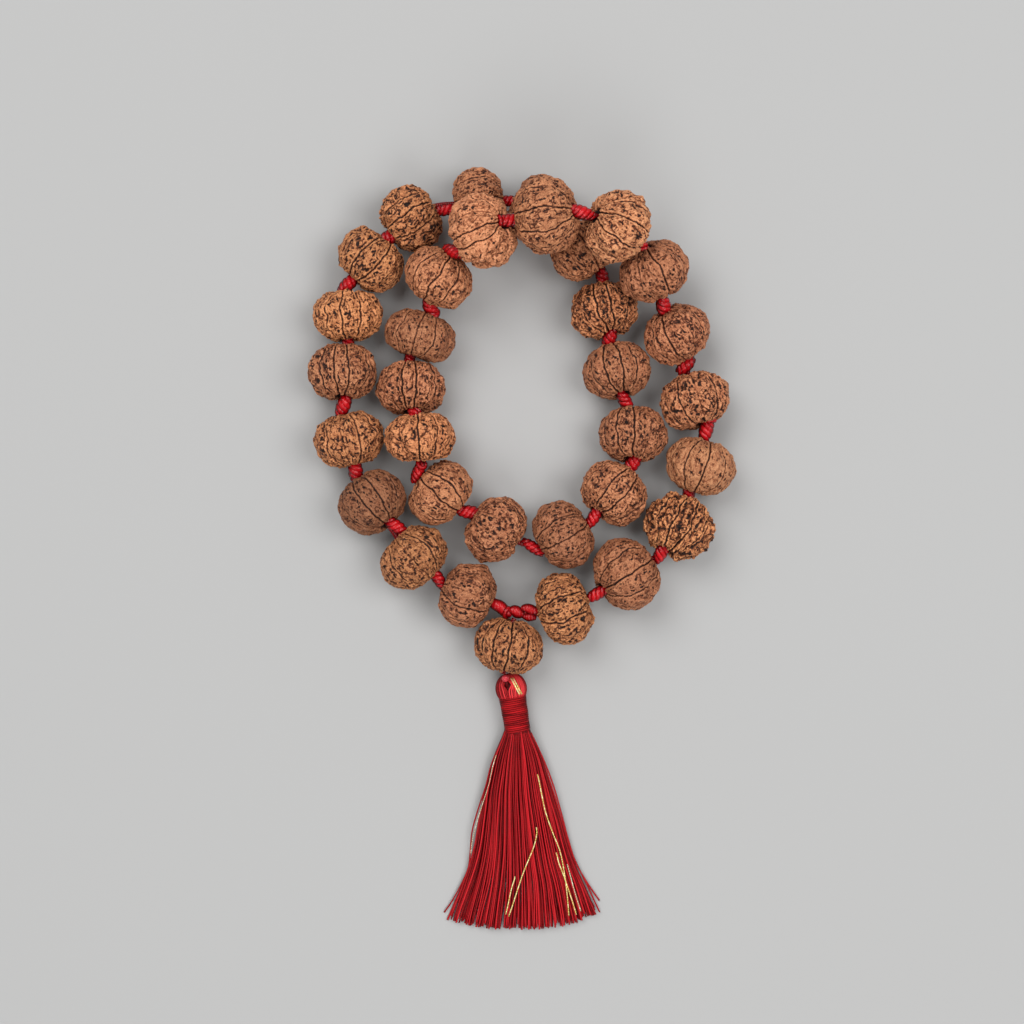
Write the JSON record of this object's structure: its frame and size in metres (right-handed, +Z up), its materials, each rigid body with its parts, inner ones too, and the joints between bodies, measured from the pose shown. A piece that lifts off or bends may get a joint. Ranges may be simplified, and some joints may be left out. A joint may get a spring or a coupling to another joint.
{
  "type": "mala prayer beads",
  "caption": "Closed loop of grooved rudraksha seeds on a knotted red cord, with a guru seed and a crimson silk tassel, lying in two crossing turns.",
  "frame": {"origin": "centre of the underside of the whole object's bounding box, on the surface it lies on", "axes": "+Z up from the surface it lies on, -Y towards the tassel, +X to the right when it is seen from above with the tassel towards the viewer"},
  "size_m": [0.159, 0.286, 0.0562],
  "materials": {
    "seed_tan": "matte, corrugated seed shell",
    "seed_ochre": "matte, corrugated seed shell with dark pits",
    "seed_pale": "matte, closely ribbed seed shell",
    "seed_russet": "matte, corrugated seed shell",
    "cord_red": "twisted silky cord with a soft sheen",
    "tassel_crimson": "silky thread",
    "binding_thread": "fine wound thread",
    "gold_thread": "metallic thread"
  },
  "bodies": {
    "strand": {"string": "cord_red", "knots_outer_left": "cord_red", "knots_inner_right": "cord_red", "knots_inner_left": "cord_red", "knots_outer_right": "cord_red", "start_knot": "cord_red", "junction_knot": "cord_red", "end_knot": "cord_red"},
    "bead_01": {"bead_01": "seed_tan"},
    "bead_02": {"bead_02": "seed_ochre"},
    "bead_03": {"bead_03": "seed_russet"},
    "bead_04": {"bead_04": "seed_tan"},
    "bead_05": {"bead_05": "seed_tan"},
    "bead_06": {"bead_06": "seed_ochre"},
    "bead_07": {"bead_07": "seed_ochre"},
    "bead_08": {"bead_08": "seed_ochre"},
    "bead_09": {"bead_09": "seed_tan"},
    "bead_10": {"bead_10": "seed_russet"},
    "bead_11": {"bead_11": "seed_tan"},
    "bead_12": {"bead_12": "seed_russet"},
    "bead_13": {"bead_13": "seed_tan"},
    "bead_14": {"bead_14": "seed_russet"},
    "bead_15": {"bead_15": "seed_tan"},
    "bead_16": {"bead_16": "seed_russet"},
    "bead_17": {"bead_17": "seed_ochre"},
    "bead_18": {"bead_18": "seed_tan"},
    "bead_19": {"bead_19": "seed_ochre"},
    "bead_20": {"bead_20": "seed_tan"},
    "bead_21": {"bead_21": "seed_russet"},
    "bead_22": {"bead_22": "seed_tan"},
    "bead_23": {"bead_23": "seed_pale"},
    "bead_24": {"bead_24": "seed_tan"},
    "bead_25": {"bead_25": "seed_pale"},
    "bead_26": {"bead_26": "seed_tan"},
    "bead_27": {"bead_27": "seed_tan"},
    "bead_28": {"bead_28": "seed_tan"},
    "bead_29": {"bead_29": "seed_pale"},
    "bead_30": {"bead_30": "seed_tan"},
    "bead_31": {"bead_31": "seed_tan"},
    "bead_32": {"bead_32": "seed_ochre"},
    "pendant": {"guru_cord": "cord_red"},
    "guru_bead": {"guru_bead": "seed_ochre"},
    "tassel_tie": {"tie_knot": "tassel_crimson"},
    "tassel": {"tassel_loop": "tassel_crimson", "tassel_head": "tassel_crimson", "tassel_binding": "binding_thread", "tassel_skirt": "tassel_crimson", "tassel_gold_threads": "gold_thread"}
  },
  "joints": [
    {"name": "bead_01_spin", "type": "hinge", "parent": "strand", "child": "bead_01", "pos_m": [-0.02, -0.016, 0.01225], "axis": [-0.9221, 0.3868, 0], "continuous": true},
    {"name": "bead_02_spin", "type": "hinge", "parent": "strand", "child": "bead_02", "pos_m": [-0.04, -0.002, 0.013], "axis": [-0.6668, 0.7453, 0], "continuous": true},
    {"name": "bead_03_spin", "type": "hinge", "parent": "strand", "child": "bead_03", "pos_m": [-0.0555, 0.0185, 0.01294], "axis": [-0.597, 0.7749, -0.2079], "continuous": true},
    {"name": "bead_04_spin", "type": "hinge", "parent": "strand", "child": "bead_04", "pos_m": [-0.064, 0.042, 0.013], "axis": [-0.2212, 0.9752, 0], "continuous": true},
    {"name": "bead_05_spin", "type": "hinge", "parent": "strand", "child": "bead_05", "pos_m": [-0.0665, 0.067, 0.01295], "axis": [-0.0107, 0.9816, -0.1908], "continuous": true},
    {"name": "bead_06_spin", "type": "hinge", "parent": "strand", "child": "bead_06", "pos_m": [-0.0645, 0.088, 0.013], "axis": [-0.014, 0.9999, 0], "continuous": true},
    {"name": "bead_07_spin", "type": "hinge", "parent": "strand", "child": "bead_07", "pos_m": [-0.056, 0.1085, 0.013], "axis": [0.6709, 0.7416, 0], "continuous": true},
    {"name": "bead_08_spin", "type": "hinge", "parent": "strand", "child": "bead_08", "pos_m": [-0.041, 0.124, 0.01275], "axis": [0.8457, 0.5337, 0], "continuous": true},
    {"name": "bead_09_spin", "type": "hinge", "parent": "strand", "child": "bead_09", "pos_m": [-0.016, 0.13, 0.013], "axis": [0.9972, 0.0743, 0], "continuous": true},
    {"name": "bead_10_spin", "type": "hinge", "parent": "strand", "child": "bead_10", "pos_m": [0.006, 0.1275, 0.013], "axis": [0.9143, -0.4051, 0], "continuous": true},
    {"name": "bead_11_spin", "type": "hinge", "parent": "strand", "child": "bead_11", "pos_m": [0.0235, 0.1125, 0.013], "axis": [0.5547, -0.8321, 0], "continuous": true},
    {"name": "bead_12_spin", "type": "hinge", "parent": "strand", "child": "bead_12", "pos_m": [0.031, 0.09, 0.01242], "axis": [0.25, -0.9375, 0.2419], "continuous": true},
    {"name": "bead_13_spin", "type": "hinge", "parent": "strand", "child": "bead_13", "pos_m": [0.0355, 0.0675, 0.01267], "axis": [0.2159, -0.946, 0.2419], "continuous": true},
    {"name": "bead_14_spin", "type": "hinge", "parent": "strand", "child": "bead_14", "pos_m": [0.0415, 0.044, 0.01269], "axis": [-0.0215, -0.9779, 0.2079], "continuous": true},
    {"name": "bead_15_spin", "type": "hinge", "parent": "strand", "child": "bead_15", "pos_m": [0.0345, 0.022, 0.01271], "axis": [-0.6406, -0.7438, 0.1908], "continuous": true},
    {"name": "bead_16_spin", "type": "hinge", "parent": "strand", "child": "bead_16", "pos_m": [0.0155, 0.0065, 0.013], "axis": [-0.8741, -0.4857, 0], "continuous": true},
    {"name": "bead_17_spin", "type": "hinge", "parent": "strand", "child": "bead_17", "pos_m": [-0.0095, 0.0085, 0.013], "axis": [-0.8498, 0.5271, 0], "continuous": true},
    {"name": "bead_18_spin", "type": "hinge", "parent": "strand", "child": "bead_18", "pos_m": [-0.03, 0.022, 0.013], "axis": [-0.7486, 0.663, 0], "continuous": true},
    {"name": "bead_19_spin", "type": "hinge", "parent": "strand", "child": "bead_19", "pos_m": [-0.0375, 0.0425, 0.0195], "axis": [-0.048, 0.9988, 0], "continuous": true},
    {"name": "bead_20_spin", "type": "hinge", "parent": "strand", "child": "bead_20", "pos_m": [-0.041, 0.061, 0.01267], "axis": [0, 0.9744, -0.225], "continuous": true},
    {"name": "bead_21_spin", "type": "hinge", "parent": "strand", "child": "bead_21", "pos_m": [-0.0375, 0.0805, 0.01475], "axis": [0.3179, 0.9481, 0], "continuous": true},
    {"name": "bead_22_spin", "type": "hinge", "parent": "strand", "child": "bead_22", "pos_m": [-0.0305, 0.1015, 0.02095], "axis": [0.5331, 0.828, 0.1736], "continuous": true},
    {"name": "bead_23_spin", "type": "hinge", "parent": "strand", "child": "bead_23", "pos_m": [-0.014, 0.117, 0.03695], "axis": [0.7894, 0.3098, 0.5299], "continuous": true},
    {"name": "bead_24_spin", "type": "hinge", "parent": "strand", "child": "bead_24", "pos_m": [0.009, 0.122, 0.04234], "axis": [0.9444, 0.1121, 0.309], "continuous": true},
    {"name": "bead_25_spin", "type": "hinge", "parent": "strand", "child": "bead_25", "pos_m": [0.0345, 0.1185, 0.03772], "axis": [0.8207, -0.3844, -0.4226], "continuous": true},
    {"name": "bead_26_spin", "type": "hinge", "parent": "strand", "child": "bead_26", "pos_m": [0.0485, 0.1035, 0.02582], "axis": [0.4196, -0.8408, -0.342], "continuous": true},
    {"name": "bead_27_spin", "type": "hinge", "parent": "strand", "child": "bead_27", "pos_m": [0.0575, 0.081, 0.01472], "axis": [0.4771, -0.8678, -0.1392], "continuous": true},
    {"name": "bead_28_spin", "type": "hinge", "parent": "strand", "child": "bead_28", "pos_m": [0.0645, 0.0565, 0.01295], "axis": [0.3137, -0.9335, 0.1736], "continuous": true},
    {"name": "bead_29_spin", "type": "hinge", "parent": "strand", "child": "bead_29", "pos_m": [0.06665, 0.032, 0.013], "axis": [-0.3136, -0.9496, 0], "continuous": true},
    {"name": "bead_30_spin", "type": "hinge", "parent": "strand", "child": "bead_30", "pos_m": [0.0585, 0.0095, 0.01319], "axis": [-0.4632, -0.8476, 0.2588], "continuous": true},
    {"name": "bead_31_spin", "type": "hinge", "parent": "strand", "child": "bead_31", "pos_m": [0.039, -0.008, 0.01372], "axis": [-0.8407, -0.5185, 0.1564], "continuous": true},
    {"name": "bead_32_spin", "type": "hinge", "parent": "strand", "child": "bead_32", "pos_m": [0.016, -0.021, 0.0135], "axis": [-0.9463, -0.3231, 0], "continuous": true},
    {"name": "pendant_lift", "type": "hinge", "parent": "strand", "child": "pendant", "pos_m": [-0.002, -0.022, 0.013], "axis": [-1, 0, 0], "range_deg": [0, 30]},
    {"name": "guru_bead_spin", "type": "hinge", "parent": "pendant", "child": "guru_bead", "pos_m": [-0.005, -0.0347, 0.013], "axis": [-0.1699, -0.9855, 0], "continuous": true},
    {"name": "tassel_swing", "type": "hinge", "parent": "pendant", "child": "tassel_tie", "pos_m": [-0.007, -0.0463, 0.013], "axis": [0, 0, 1], "range_deg": [-40, 20]},
    {"name": "tassel_lift", "type": "hinge", "parent": "tassel_tie", "child": "tassel", "pos_m": [-0.007, -0.0463, 0.013], "axis": [-1, 0, 0], "range_deg": [0, 60]}
  ]
}
